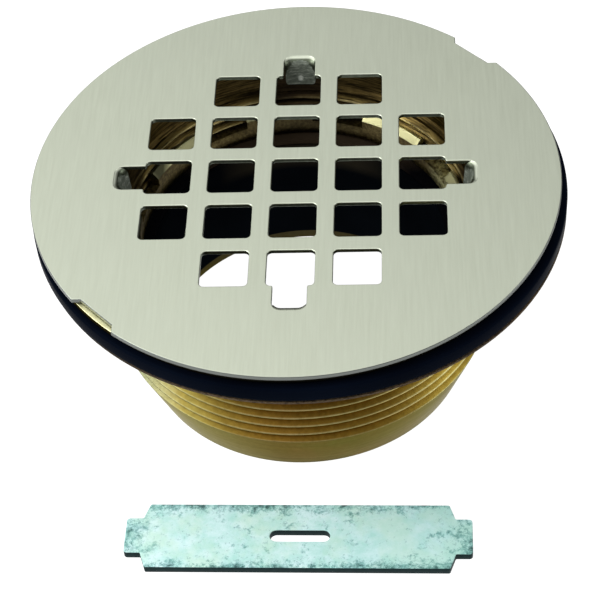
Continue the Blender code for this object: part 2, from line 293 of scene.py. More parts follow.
def add_turned(shape, outline, closed=True):
    """Add the surface that an outline of (radius, height) points sweeps about the axis."""
    columns = []
    for i in range(COLUMNS):
        turn = Matrix.Rotation(math.tau * i / COLUMNS - math.pi / 2, 3, "Z")
        columns.append([shape.verts.new(turn @ Vector((r, 0, z))) for r, z in outline])
    last = len(outline) if closed else len(outline) - 1
    for i in range(COLUMNS):
        here, beyond = columns[i], columns[(i + 1) % COLUMNS]
        for k in range(last):
            after = (k + 1) % len(outline)
            shape.faces.new((here[k], beyond[k], beyond[after], here[after]))


def add_thread(shape, root, crest, top, bottom, front_crest, fade):
    """Add a right-hand screw thread's wall, with one crest passing the front at front_crest."""
    first_turn = -math.ceil((top - front_crest) / PITCH) - 2
    last_turn = math.ceil((front_crest - bottom) / PITCH) + 2
    turns = range(first_turn, last_turn)
    rows = [(turn + share, tall) for turn in turns for share, tall in THREAD_SHAPE]
    columns = []
    for i in range(COLUMNS):
        turn = Matrix.Rotation(math.tau * i / COLUMNS - math.pi / 2, 3, "Z")
        column = []
        for offset, tall in rows:
            height = front_crest + PITCH * (i / COLUMNS - offset)
            height = min(top, max(bottom, height))
            strength = min(1.0, (top - height) / fade, (height - bottom) / fade)
            radius = root + (crest - root) * tall * strength
            column.append(shape.verts.new(turn @ Vector((radius, 0, height))))
        columns.append(column)
    # Behind the last column the first one is met again, a whole pitch further down.
    columns.append([columns[0][0]] * len(THREAD_SHAPE) + columns[0])
    for here, beyond in zip(columns, columns[1:]):
        for k in range(len(rows) - 1):
            corners = dict.fromkeys((here[k], beyond[k], beyond[k + 1], here[k + 1]))
            if len({tuple(round(c, 5) for c in corner.co) for corner in corners}) > 2:
                shape.faces.new(list(corners))


def mesh_of(name, shape):
    """Turn a finished shape into a mesh with no doubled corners."""
    bmesh.ops.remove_doubles(shape, verts=shape.verts, dist=0.0005)
    bmesh.ops.recalc_face_normals(shape, faces=shape.faces)
    mesh = bpy.data.meshes.new(name)
    shape.to_mesh(mesh)
    shape.free()
    return mesh


def carved(mesh, cutter, edge):
    """Cut one mesh out of another and round the sharp edges that this leaves."""
    body = bpy.data.objects.new("carved", mesh)
    tool = bpy.data.objects.new("cutter", cutter)
    for thing in (body, tool):
        bpy.context.collection.objects.link(thing)
    cut = body.modifiers.new("cut", "BOOLEAN")
    cut.object = tool
    cut.solver = "EXACT"
    round_off = body.modifiers.new("edges", "BEVEL")
    round_off.width = edge
    round_off.segments = 3
    round_off.limit_method = "ANGLE"
    round_off.angle_limit = math.radians(75)
    bpy.context.view_layer.update()
    graph = bpy.context.evaluated_depsgraph_get()
    result = bpy.data.meshes.new_from_object(body.evaluated_get(graph))
    for thing in (body, tool):
        bpy.data.objects.remove(thing)
    return result


def add_piece(name, mesh, look, body, node, centre=None, sharp=35.0):
    """Make a mesh a piece that replaces one CAD node and rides on its body.

    Edges that turn by more than sharp degrees are shaded as corners.
    """
    x, y = centre or (AXIS_X, AXIS_Y)
    mesh.transform(Matrix.Scale(MM, 4) @ Matrix.Translation((x, y, 0)))
    mesh.shade_smooth()
    mesh.set_sharp_from_angle(angle=math.radians(sharp))
    mesh.materials.append(look)
    piece = bpy.data.objects.new(name, mesh)
    bpy.context.collection.objects.link(piece)
    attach(piece, body)
    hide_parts(node)
    return piece


# ---- Materials ----------------------------------------------------------------------------------
class Nodes:
    """A small wrapper that keeps a material's node code short."""

    def __init__(self, name, **inputs):
        self.material = bpy.data.materials.new(name)
        self.material.use_nodes = True
        self.tree = self.material.node_tree
        self.shader = self.tree.nodes["Principled BSDF"]
        for socket, value in inputs.items():
            self.shader.inputs[socket.replace("_", " ")].default_value = value

    def add(self, kind, settings=None, **inputs):
        """Add a node; an input named i and a number is taken by its number."""
        node = self.tree.nodes.new(kind)
        for key, value in (settings or {}).items():
            setattr(node, key, value)
        for socket, value in inputs.items():
            self.set(node, socket.replace("_", " "), value)
        return node

    def set(self, node, socket, value):
        by_number = socket[0] == "i" and socket[1:].isdigit()
        socket = node.inputs[int(socket[1:]) if by_number else socket]
        if isinstance(value, bpy.types.NodeSocket):
            self.tree.links.new(value, socket)
        else:
            socket.default_value = value

    def position(self, scale):
        """Object coordinates, stretched by a scale along each axis."""
        where = self.add("ShaderNodeTexCoord")
        return self.add(
            "ShaderNodeVectorMath", {"operation": "MULTIPLY"}, i0=where.outputs["Object"], i1=scale
        ).outputs[0]

    def noise(self, scale, detail=3.0, roughness=0.5, stretch=(1, 1, 1)):
        """Noise with a number of features for each metre; a low stretch draws them out."""
        return self.add(
            "ShaderNodeTexNoise", None,
            Vector=self.position(stretch), Scale=scale, Detail=detail, Roughness=roughness,
        ).outputs["Fac"]

    def ramp(self, factor, *stops):
        """Map a factor to colours, each stop being (position, colour)."""
        node = self.add("ShaderNodeValToRGB", None, Fac=factor)
        band = node.color_ramp
        while len(band.elements) < len(stops):
            band.elements.new(0.5)
        for element, (place, colour) in zip(band.elements, stops):
            element.position = place
            element.color = (*colour, 1.0)
        return node.outputs["Color"]

    def span(self, value, low, high, to_low=0.0, to_high=1.0):
        """Map low..high to to_low..to_high, and keep what lies beyond at those limits."""
        return self.add(
            "ShaderNodeMapRange", None, i0=value, i1=low, i2=high, i3=to_low, i4=to_high
        ).outputs["Result"]

    def mix(self, factor, first, second, blend="MIX"):
        node = self.add("ShaderNodeMix", {"data_type": "RGBA", "blend_type": blend})
        self.set(node, "i0", factor)
        for index, value in ((6, first), (7, second)):
            if isinstance(value, tuple) and len(value) == 3:
                value = (*value, 1.0)
            self.set(node, f"i{index}", value)
        return node.outputs[2]

    def math(self, operation, first, second=0.0):
        return self.add("ShaderNodeMath", {"operation": operation}, i0=first, i1=second).outputs[0]

    def radius(self):
        """Distance from the drain's axis, in millimetres."""
        where = self.add("ShaderNodeTexCoord").outputs["Object"]
        centred = self.add(
            "ShaderNodeVectorMath", {"operation": "SUBTRACT"},
            i0=where, i1=(AXIS_X * MM, AXIS_Y * MM, 0),
        ).outputs[0]
        flat = self.add(
            "ShaderNodeVectorMath", {"operation": "MULTIPLY"}, i0=centred, i1=(1 / MM, 1 / MM, 0)
        ).outputs[0]
        return self.add("ShaderNodeVectorMath", {"operation": "LENGTH"}, i0=flat).outputs["Value"]

    def along(self, axis):
        """Distance along one axis of the frame, in millimetres."""
        where = self.add("ShaderNodeTexCoord").outputs["Object"]
        parts = self.add("ShaderNodeSeparateXYZ", None, Vector=where)
        return self.math("MULTIPLY", parts.outputs[axis], 1 / MM)

    def height(self):
        """Height above the surface that the drain stands on, in millimetres."""
        return self.along("Z")

    def from_cross(self):
        """Distance from the nearer upright plane through two opposite tabs' middles."""
        return self.math(
            "MINIMUM",
            self.math("ABSOLUTE", self.math("SUBTRACT", self.along("X"), AXIS_X)),
            self.math("ABSOLUTE", self.math("SUBTRACT", self.along("Y"), AXIS_Y)),
        )

    def bump(self, height, distance, strength=1.0):
        node = self.add(
            "ShaderNodeBump", None, Height=height, Distance=distance, Strength=strength
        )
        self.set(self.shader, "Normal", node.outputs["Normal"])

    def colour(self, value):
        self.set(self.shader, "Base Color", value)

    def roughness(self, value):
        self.set(self.shader, "Roughness", value)


def brushed_steel():
    """Sheet brushed along Y; its dull sheared walls are darkened as painted shade, and a grey line
    of painted shade runs along the rounded edge of its rim.
    """
    look = Nodes("brushed_stainless", Metallic=1.0)
    streaks = look.noise(1600, 5.0, 0.7, (1.0, 0.045, 1.0))
    patches = look.noise(45, 3.0, 0.55)
    shears = look.noise(1100, 5.0, 0.7, (1.0, 1.0, 0.2))
    face = look.mix(look.span(streaks, 0.25, 0.75), (0.60, 0.645, 0.515), (0.69, 0.74, 0.605))
    face = look.mix(look.span(patches, 0.35, 0.65, 0.0, 0.3), face, (0.63, 0.675, 0.555))
    # The sheared walls: dull shearing marks, darkened as painted shade.
    wall = look.mix(look.span(shears, 0.3, 0.7), (0.075, 0.09, 0.06), (0.15, 0.17, 0.125))
    near_top = look.span(look.height(), TOP - 0.36, TOP - 0.16)
    colour = look.mix(near_top, wall, face)
    # Painted shade: a grey line on the rounded top edge of the rim dims the highlight there.
    rounding = look.span(look.height(), TOP - 0.03, TOP - 0.003, 1.0, 0.0)
    at_rim = look.span(look.radius(), NOTCH_FLAT_AT - 0.2, NOTCH_FLAT_AT - 0.15)
    rim_edge = look.math("MULTIPLY", rounding, at_rim)
    look.colour(look.mix(rim_edge, colour, (0.16, 0.172, 0.16)))
    look.roughness(look.span(streaks, 0.3, 0.7, 0.34, 0.42))
    look.bump(streaks, 0.00002, 0.25)
    return look.material


def scratched_steel_painted_shade():
    """The tabs' dull faces, rubbed along their width, darkened as painted shade, with a painted
    highlight on each dimple near the tips.
    """
    look = Nodes("scratched_stainless_painted_shade", Metallic=0.5, Roughness=0.55)
    rubs = look.noise(1500, 6.0, 0.75, (0.35, 0.35, 1.6))
    spots = look.noise(700, 4.0, 0.7)
    # The tabs' faces are rubbed and scratched, and darker than the sheet as painted shade.
    base = look.ramp(
        rubs,
        (0.35, (0.07, 0.085, 0.065)), (0.52, (0.17, 0.195, 0.155)), (0.68, (0.42, 0.45, 0.38)),
    )
    base = look.mix(look.span(spots, 0.55, 0.75, 0.0, 0.6), base, (0.13, 0.15, 0.12))
    across = look.from_cross()
    above = look.math("SUBTRACT", look.height(), TAB_FOOT + DIMPLE_RISE)
    spread = look.math(
        "ADD", look.math("MULTIPLY", across, across), look.math("MULTIPLY", above, above)
    )
    # Painted highlight: a pale spot on each tab's dimple near its tip.
    dimple = look.span(spread, 0.05, DIMPLE_SIZE ** 2, 0.9, 0.0)
    look.colour(look.mix(dimple, base, (0.80, 0.84, 0.76)))
    look.bump(rubs, 0.00005, 0.5)
    return look.material


def body_brass():
    """Turned brass: a pale flange, threads whose dark roots are painted shade and whose bright
    crests are painted highlights, and an olive skirt; painted light and shade are laid over much
    of it.
    """
    look = Nodes("cast_brass", Metallic=1.0, Specular_Tint=(0.72, 0.66, 0.46, 1.0))
    radius, height = look.radius(), look.height()
    across = look.math("SUBTRACT", look.along("X"), AXIS_X)
    grain = look.noise(900, 5.0, 0.65)

    # Painted light and shade along X: the outer thread is greener on its left half, grey at its
    # far left and paler at its right, and darkened overall as painted shade.
    # Painted shade darkens the outer thread's roots and painted highlights brighten its crests.
    outer = look.ramp(
        look.span(radius, THREAD_ROOT, THREAD_CREST),
        (0.0, (0.205, 0.108, 0.013)), (0.84, (0.255, 0.152, 0.026)), (0.97, (0.40, 0.30, 0.13)),
    )
    outer = look.mix(look.span(across, -22.0, -8.0, 0.40, 0.0), outer, (0.06, 0.09, 0.035))
    outer = look.mix(look.span(across, -34.0, -24.0, 0.9, 0.0), outer, (0.27, 0.28, 0.160))
    # A ramp's colours end at 1, so this one holds half of what the thread is multiplied by.
    painted_light_along_x = look.ramp(
        look.span(across, -30.0, 30.0),
        (0.0, (0.48, 0.50, 0.50)), (0.13, (0.41, 0.46, 0.46)), (0.24, (0.345, 0.365, 0.32)),
        (0.45, (0.49, 0.475, 0.46)), (0.78, (0.58, 0.62, 0.56)), (1.0, (0.70, 0.86, 0.90)),
    )
    outer = look.mix(1.0, look.mix(1.0, outer, (2.0, 2.0, 2.0), "MULTIPLY"), painted_light_along_x, "MULTIPLY")

    # The inner thread has painted streaks of highlight and shade, painted shade at the back, and
    # painted shadows behind the strainer's tabs and at its far left and right.
    # Painted highlights brighten the inner thread's crests and painted shade darkens its roots.
    inner = look.ramp(
        look.span(radius, INNER_CREST, INNER_ROOT),
        (0.0, (0.50, 0.43, 0.23)), (0.25, (0.19, 0.145, 0.055)), (1.0, (0.11, 0.08, 0.032)),
    )
    # Painted highlights and shade: streaks that run round the thread.
    streaks = look.noise(3200, 4.0, 0.7, (0.04, 0.04, 1.0))
    painted_streaks = look.mix(look.span(streaks, 0.42, 0.58), (0.28, 0.26, 0.22), (1.8, 1.72, 1.45))
    inner = look.mix(1.0, inner, painted_streaks, "MULTIPLY")
    # Painted shade: the back of the inner thread is darkened.
    painted_back_shade = look.span(look.along("Y"), AXIS_Y + 28.0, AXIS_Y + 35.0, 0.0, 0.55)
    inner = look.mix(painted_back_shade, inner, (0.006, 0.005, 0.003))
    # Painted shadows: darker behind each of the strainer's tabs and at the far left and right.
    grime_and_painted_shadow = look.math(
        "MAXIMUM", look.span(look.from_cross(), 6.0, 8.5, 0.75, 0.0),
        look.span(look.math("ABSOLUTE", across), 33.0, 34.0, 0.0, 0.72),
    )
    inner = look.mix(grime_and_painted_shadow, inner, (0.022, 0.015, 0.010))

    # The skirt is mottled and darkened throughout as painted shade, most at its foot; it is paler
    # towards both sides as painted light, and its lip is dark.
    skirt = look.ramp(
        look.span(height, FOOT, level(THREAD_END + 0.1)),
        (0.0, (0.020, 0.016, 0.007)), (0.04, (0.030, 0.024, 0.010)),
        (0.09, (0.068, 0.052, 0.020)), (0.25, (0.066, 0.047, 0.017)),
        (0.9, (0.107, 0.078, 0.029)),
    )
    patina = look.span(look.noise(42, 3.0, 0.6), 0.45, 0.65, 0.0, 0.7)
    skirt = look.mix(patina, skirt, (0.080, 0.088, 0.026))
    blush = look.span(look.noise(95, 4.0, 0.6), 0.50, 0.68, 0.0, 0.55)
    skirt = look.mix(blush, skirt, (0.115, 0.068, 0.030))
    # Painted light: paler towards the left and the right.
    skirt = look.mix(look.span(across, -28.0, -4.0, 0.75, 0.0), skirt, (0.26, 0.26, 0.100))
    skirt = look.mix(look.span(across, 12.0, 26.0, 0.0, 0.35), skirt, (0.20, 0.19, 0.060))
    skirt = look.mix(look.span(radius, 32.7, 33.2), (0.035, 0.029, 0.013), skirt)

    # These are joined, and the flange's edge, made dark as painted shade, and its pale top face
    # are laid over them.
    above_skirt = look.span(height, level(THREAD_END + 0.2), level(THREAD_END - 0.1))
    colour = look.mix(
        look.span(radius, COUNTERBORE_RADIUS, COUNTERBORE_RADIUS + 0.3), inner, outer
    )
    colour = look.mix(above_skirt, skirt, colour)
    # Painted shade: the flange's edge is made nearly black.
    on_flange = look.span(height, level(FLANGE_UNDER + 0.4), level(FLANGE_UNDER))
    colour = look.mix(on_flange, colour, (0.012, 0.011, 0.008))
    on_top = look.span(height, FLANGE_TOP - 0.09, FLANGE_TOP - 0.03)
    colour = look.mix(on_top, colour, (0.74, 0.73, 0.44))
    tint = look.mix(look.span(grain, 0.3, 0.7), (0.78, 0.76, 0.70), (1.14, 1.15, 1.18))
    look.colour(look.mix(1.0, colour, tint, "MULTIPLY"))

    # The skirt shows its turning marks; the rest is duller.
    turning_marks = look.noise(1500, 3.0, 0.6, (0.05, 0.05, 1.0))
    polish = look.span(turning_marks, 0.3, 0.7, 0.28, 0.38)
    look.roughness(look.mix(above_skirt, polish, (0.43, 0.43, 0.43)))
    look.bump(grain, 0.00003, 0.3)
    return look.material


def nut_brass():
    """Rough cast brass with a machined, pale top and cone, a painted shadow on the cone at the
    left and painted shade on the cast brass at the back.
    """
    look = Nodes("machined_brass", Metallic=1.0)
    cone_foot = ring_mm("compression_nut")[4] - NUT_BORE_CHAMFER
    grain = look.noise(1300, 5.0, 0.7)
    cast = look.ramp(
        grain,
        (0.35, (0.06, 0.045, 0.018)), (0.5, (0.145, 0.11, 0.042)), (0.68, (0.27, 0.22, 0.09)),
    )
    # Painted shade: the back of the nut's cast brass is darkened.
    painted_back_shade = look.span(look.along("Y"), AXIS_Y + 28.0, AXIS_Y + 33.0, 0.0, 0.7)
    cast = look.mix(painted_back_shade, cast, (0.012, 0.010, 0.007))
    speckle = look.ramp(grain, (0.38, (0.20, 0.17, 0.075)), (0.58, (0.98, 0.95, 0.48)))
    speckled = look.span(look.along("X"), AXIS_X + 27.0, AXIS_X + 30.0, 0.0, 0.85)
    cast = look.mix(speckled, cast, speckle)
    machined = look.mix(grain, (0.60, 0.57, 0.29), (0.76, 0.74, 0.42))
    # Painted shadow: the machined cone is darkened at the far left.
    painted_patch = look.span(look.along("X"), AXIS_X - 29.5, AXIS_X - 28.0, 0.9, 0.0)
    machined = look.mix(painted_patch, machined, (0.045, 0.046, 0.028))
    turned = look.span(look.height(), cone_foot - 0.1, cone_foot + 0.1)
    look.colour(look.mix(turned, cast, machined))
    look.roughness(look.span(grain, 0.3, 0.7, 0.38, 0.52))
    look.bump(grain, 0.00006, 0.5)
    return look.material


def rubber(name, colour, roughness, gloss, back_painted_light=None):
    """Faintly clouded black rubber; painted light, where it is given, colours its upper part at
    the back.
    """
    look = Nodes(name, Specular_IOR_Level=gloss, IOR=1.1, Specular_Tint=(0.5, 0.75, 1.0, 1.0))
    grain = look.noise(1500, 3.0, 0.6)
    cloud = look.noise(60, 2.0, 0.5)
    base = look.mix(look.span(cloud, 0.3, 0.7), colour, tuple(1.6 * c for c in colour))
    if back_painted_light:
        # Painted light: a brown, lighter patch on the upper part at the back.
        reached = look.math(
            "MULTIPLY", look.span(look.along("Y"), AXIS_Y + 24.0, AXIS_Y + 28.0),
            look.span(look.height(), level(27.0), level(24.5)),
        )
        base = look.mix(reached, base, back_painted_light)
    look.colour(base)
    look.roughness(look.span(cloud, 0.3, 0.7, roughness - 0.06, roughness + 0.08))
    look.bump(grain, 0.00002, 0.3)
    return look.material


def fibre():
    """Stranded grey-brown fibre, made dark at the left as painted shade."""
    look = Nodes("grey_fibre", Specular_IOR_Level=0.1)
    strands = look.noise(1400, 5.0, 0.7, (1.0, 1.0, 3.0))
    cloud = look.noise(120, 3.0, 0.5)
    base = look.mix(look.span(strands, 0.35, 0.65), (0.018, 0.012, 0.008), (0.15, 0.105, 0.06))
    base = look.mix(look.span(cloud, 0.4, 0.7, 0.0, 0.4), base, (0.045, 0.04, 0.032))
    # Painted shade: the fibre is made dark towards the left.
    darkened = look.span(look.along("X"), -42.0, -22.0, 0.9, 0.0)
    look.colour(look.mix(darkened, base, (0.003, 0.003, 0.004)))
    look.roughness(0.9)
    look.bump(strands, 0.00015, 0.6)
    return look.material


def plastic():
    """Dull black plastic, made brown and lighter at the back as painted light."""
    look = Nodes("black_plastic", Specular_IOR_Level=0.0)
    grain = look.noise(900, 2.0)
    black = look.mix(grain, (0.0016, 0.0018, 0.0028), (0.004, 0.004, 0.005))
    # Painted light: the back of the plastic is made brown and lighter.
    painted_patch = look.span(look.along("Y"), AXIS_Y + 20.0, AXIS_Y + 27.0)
    look.colour(look.mix(painted_patch, black, (0.045, 0.032, 0.020)))
    look.roughness(0.45)
    look.bump(grain, 0.00002, 0.3)
    return look.material


def zinc():
    """Bright bluish zinc with more wear near its outline, painted shade towards its right end, and
    a sheared edge made nearly black as painted shade.
    """
    look = Nodes("zinc_plate", Specular_IOR_Level=0.12, Specular_Tint=(0.4, 0.9, 0.9, 1.0))
    low, high = box_mm("tightening_key")
    middle = (low + high) / 2
    flecks = look.noise(900, 9.0, 0.85)
    grime_and_painted_shadow = look.noise(260, 6.0, 0.75)
    clouds = look.noise(330, 5.0, 0.7)
    patches = look.noise(110, 3.0, 0.6)
    bright = look.mix(look.span(clouds, 0.35, 0.65), (0.48, 0.82, 0.76), (0.72, 0.96, 0.97))
    bright = look.mix(look.span(patches, 0.45, 0.62, 0.0, 0.45), bright, (0.62, 0.86, 0.66))
    shaded = look.span(look.along("X"), 0.0, high.x, 0.0, 0.4)
    bright = look.mix(shaded, bright, (0.34, 0.66, 0.65))
    from_middle = look.math("ABSOLUTE", look.math("SUBTRACT", look.along("Y"), middle.y))
    border = look.span(from_middle, 4.5, high.y - middle.y, 0.0, 0.13)
    ends = look.span(look.math("ABSOLUTE", look.along("X")), 27.0, high.x, 0.0, 0.10)
    border = look.math("MAXIMUM", border, ends)
    marks = look.math("SUBTRACT", look.math("MINIMUM", flecks, grime_and_painted_shadow), border)
    marked = look.ramp(
        marks, (0.27, (0.10, 0.16, 0.16)), (0.36, (0.50, 0.64, 0.64)), (0.43, (1, 1, 1))
    )
    top = look.mix(1.0, bright, marked, "MULTIPLY")
    # Painted shade: the sheared edge is made nearly black.
    edge = look.mix(look.span(flecks, 0.3, 0.7), (0.0005, 0.006, 0.007), (0.006, 0.022, 0.024))
    look.colour(look.mix(look.span(look.height(), high.z - 0.22, high.z - 0.12), edge, top))
    look.roughness(look.span(flecks, 0.3, 0.7, 0.6, 0.4))
    look.bump(flecks, 0.00005, 0.4)
    return look.material


# ---- Pieces -------------------------------------------------------------------------------------
def slot_side_points():
    """The outer end of a slot on the +X side, clockwise as a hole's outline runs."""
    half = SLOT_WIDTH / 2
    start = GRID_REACH * HOLE_PITCH + HOLE_SIZE / 2
    end = SLOT_END - SLOT_LAP
    return [
        (start, half, SLOT_ROOT_CORNER), (end, half, SLOT_CORNER),
        (end, -half, SLOT_CORNER), (start, -half, SLOT_ROOT_CORNER),
    ]


def hole_outline(column, row):
    """One square hole, clockwise; a middle outer hole is joined by its tab's slot."""
    half = HOLE_SIZE / 2
    x, y = column * HOLE_PITCH, row * HOLE_PITCH
    if abs(column) + abs(row) == GRID_REACH and column * row == 0:
        x = GRID_REACH * HOLE_PITCH
        corners = [(x - half, -half, HOLE_CORNER), (x - half, half, HOLE_CORNER)]
        corners += [(x + half, half, HOLE_CORNER)] + slot_side_points()
        corners += [(x + half, -half, HOLE_CORNER)]
        quarter = {(1, 0): 0, (0, 1): 90, (-1, 0): 180, (0, -1): 270}
        turn = quarter[(column // GRID_REACH, row // GRID_REACH)]
        return rotated(filleted(corners), turn)
    return filleted([
        (x - half, y - half, HOLE_CORNER), (x - half, y + half, HOLE_CORNER),
        (x + half, y + half, HOLE_CORNER), (x + half, y - half, HOLE_CORNER),
    ])


def rim_outline():
    """The strainer's rim, anticlockwise, with its two prising notches.

    Each notch has a flat floor, and sides that run out to the rim at 45 degrees.
    """
    ahead = NOTCH_FLAT_AT - NOTCH_FLAT_HALF
    half = ((STRAINER_RADIUS ** 2 * 2 - ahead ** 2) ** 0.5 - ahead) / 2
    mouth = math.degrees(math.asin(half / STRAINER_RADIUS))
    floor = [(NOTCH_FLAT_AT, -NOTCH_FLAT_HALF), (NOTCH_FLAT_AT, NOTCH_FLAT_HALF)]
    outline = []
    for middle in NOTCH_ANGLES:
        outline += rotated(floor, middle)
        outline += arc((0, 0), STRAINER_RADIUS, middle + mouth, middle + 180 - mouth, COLUMNS // 2)
    return outline


def tab_strip():
    """The tab's bent strip on the +X side: pairs of (x, height) points on its two faces."""
    centre = (SLOT_END, TOP - TAB_BEND)
    front = arc(centre, TAB_BEND - TAB_SKIN, 90, 180 - TAB_LEAN, TAB_BEND_STEPS)
    back = arc(centre, TAB_BEND - SHEET + TAB_SKIN, 90, 180 - TAB_LEAN, TAB_BEND_STEPS)
    root = SLOT_END + TAB_ROOT
    return [((root, TOP - TAB_SKIN), (root, TOP - SHEET + TAB_SKIN))] + list(zip(front, back))


def cup(across):
    """How far a tab's corners curl in towards the axis, at a distance across it."""
    beyond = abs(across) - (SLOT_WIDTH / 2 - SLOT_CORNER)
    if beyond <= 0:
        return 0.0
    followed = min(beyond, SLOT_CORNER * TAB_CURL_LIMIT)
    return SLOT_CORNER - math.sqrt(SLOT_CORNER ** 2 - followed ** 2)


def tab_column(across, trim):
    """Points down one face of a tab and up the other, at a distance across it."""
    strip = tab_strip()
    low_corner = max(0.0, abs(across) - (TAB_WIDTH / 2 - TAB_CORNER))
    foot = TAB_FOOT + TAB_CORNER - math.sqrt(TAB_CORNER ** 2 - low_corner ** 2)
    curl = cup(across)
    lean = math.tan(math.radians(TAB_LEAN))
    faces = []
    for side, sign in ((0, 1), (1, -1)):
        points = [(pair[side][0] - curl + sign * trim, pair[side][1]) for pair in strip]
        points[0] = strip[0][side]
        x, height = points[-1]
        for step in range(1, TAB_STRAIGHT_STEPS + 1):
            fall = (height - foot) * step / TAB_STRAIGHT_STEPS
            z = height - fall
            spread = math.hypot(across, z - TAB_FOOT - DIMPLE_RISE)
            dent = DIMPLE_DEPTH * math.exp(-(spread / DIMPLE_SIZE) ** 2)
            unfold = TAB_UNCURL * curl * step / TAB_STRAIGHT_STEPS
            points.append((x - fall * lean + unfold + dent, z))
        faces.append(points)
    return faces[0] + faces[1][::-1]


def add_tab(shape, quarter):
    """Add a tab as a cupped, dimpled strip that is closed along both sides."""
    turn = Matrix.Rotation(math.radians(90 * quarter), 3, "Z")
    half = TAB_WIDTH / 2
    flat = half - TAB_EDGE
    near_edge = 0.25 * flat + 0.75 * half
    places = [flat * (2 * step / TAB_STEPS_ACROSS - 1) for step in range(TAB_STEPS_ACROSS + 1)]
    places = [-half, -near_edge] + places + [near_edge, half]
    columns = []
    for place in places:
        trim = TAB_EDGE_TRIM * max(0.0, abs(place) - flat) / TAB_EDGE
        columns.append([
            shape.verts.new(turn @ Vector((x, place, z))) for x, z in tab_column(place, trim)
        ])
    for i in range(1, len(columns)):
        beyond, here = columns[i], columns[i - 1]
        aside = abs(places[i] + places[i - 1]) / TAB_WIDTH
        dull_from = TAB_DULL_FROM + TAB_DULL_ARCH * aside ** 3
        for k in range(len(here)):
            strip = shape.faces.new((here[k - 1], here[k], beyond[k], beyond[k - 1]))
            strip.material_index = int(strip.calc_center_median().z < TOP - dull_from)
    half_way = len(columns[0]) // 2
    for column in (columns[0], columns[-1]):
        for k in range(half_way - 1):
            side = shape.faces.new((column[k], column[k + 1], column[-2 - k], column[-1 - k]))
            side.material_index = 1


def make_strainer(look, tab_look):
    """The grate and its four tabs are one pressed sheet; the tabs' faces have a second look."""
    shape = bmesh.new()
    reach = range(-GRID_REACH, GRID_REACH + 1)
    holes = [
        hole_outline(column, row)
        for row in reach for column in reach if abs(row) + abs(column) < 2 * GRID_REACH
    ]
    add_plate(shape, [rim_outline()] + holes, TOP - SHEET, TOP, SHEARED_EDGE)
    for quarter in range(4):
        add_tab(shape, quarter)
    mesh = mesh_of("strainer_grate", shape)
    grate = add_piece("strainer_grate", mesh, look, "strainer", "strainer")
    grate.data.materials.append(tab_look)


def make_body(look):
    """One closed casting: the flange, the outer thread, the skirt and bore, the inner thread."""
    shape = bmesh.new()
    flange_under = level(FLANGE_UNDER)
    outer_top, outer_end = level(THREAD_TOP), level(THREAD_END)
    last_turn = outer_end + THREAD_RUNOUT
    inner_top, inner_end = level(INNER_TOP), level(INNER_END)
    add_turned(shape, filleted([
        (INNER_ROOT, inner_top), (COUNTERBORE_RADIUS, level(COUNTERBORE_FLOOR), 0.15),
        (COUNTERBORE_RADIUS, FLANGE_TOP, 0.4), (FLANGE_RADIUS, FLANGE_TOP, 0.2),
        (FLANGE_RADIUS, flange_under, 0.35), (NECK_RADIUS, flange_under, 0.3),
        (NECK_RADIUS, level(NECK_END), 0.1), (THREAD_ROOT, outer_top),
    ], closed=False), closed=False)
    add_thread(
        shape, THREAD_ROOT, THREAD_CREST, outer_top, last_turn, level(THREAD_FRONT), THREAD_FADE
    )
    add_turned(shape, filleted([
        (THREAD_ROOT, last_turn), (THREAD_CREST, outer_end, 0.1),
        (FOOT_RADIUS, FOOT, 0.7), (LIP_RADIUS, FOOT, 0.4), (LIP_RADIUS, level(LIP_TOP), 0.2),
        (SEAT_RADIUS, level(LIP_TOP)), (BORE_RADIUS, level(BORE_END), 0.3),
        (BORE_RADIUS, level(BORE_TOP), 0.1), (INNER_ROOT, inner_end),
    ], closed=False), closed=False)
    add_thread(
        shape, INNER_ROOT, INNER_CREST, inner_top, inner_end, level(INNER_FRONT), THREAD_FADE
    )
    mesh = mesh_of("drain_body_turned", shape)
    # The threads' roots and crests have to keep their corners in the shading.
    add_piece("drain_body_turned", mesh, look, "root", "drain_body", sharp=24.0)


def make_nut(look):
    """The nut is turned and threaded, then eight key notches are cut across its wall."""
    _, _, _, bottom, top = ring_mm("compression_nut")
    shape = bmesh.new()
    thread_top, thread_bottom = top - NUT_THREAD_INSET[0], bottom + NUT_THREAD_INSET[1]
    add_turned(shape, filleted([
        (NUT_ROOT, thread_bottom), (NUT_ROOT, bottom, 0.3), (NUT_BORE, bottom, 0.4),
        (NUT_BORE, top - NUT_BORE_CHAMFER, 0.1), (NUT_BORE + NUT_BORE_CHAMFER, top, 0.1),
        (NUT_ROOT - 0.2, top, 0.2), (NUT_ROOT, thread_top),
    ], closed=False), closed=False)
    # The nut's crests lie halfway between the body's.
    between_crests = level(INNER_FRONT) - 1.5 * PITCH
    add_thread(
        shape, NUT_ROOT, NUT_CREST, thread_top, thread_bottom, between_crests, NUT_THREAD_FADE
    )
    cutter = bmesh.new()
    side = math.tan(math.radians(NUT_NOTCH_SPREAD / 2))
    inside, outside = NUT_BORE - 3.0, NUT_CREST + 2.0
    outline = [
        (inside, -inside * side), (outside, -outside * side),
        (outside, outside * side), (inside, inside * side),
    ]
    for notch in range(NUT_NOTCHES):
        turned = rotated(outline, NUT_NOTCH_ANGLE + 360 * notch / NUT_NOTCHES)
        add_plate(cutter, [turned], level(NUT_NOTCH_FLOOR), top + 1.0, 0.0)
    mesh = carved(mesh_of("castellated_nut", shape), mesh_of("notches", cutter), NUT_NOTCH_EDGE)
    add_piece("castellated_nut", mesh, look, "nut", "compression_nut")


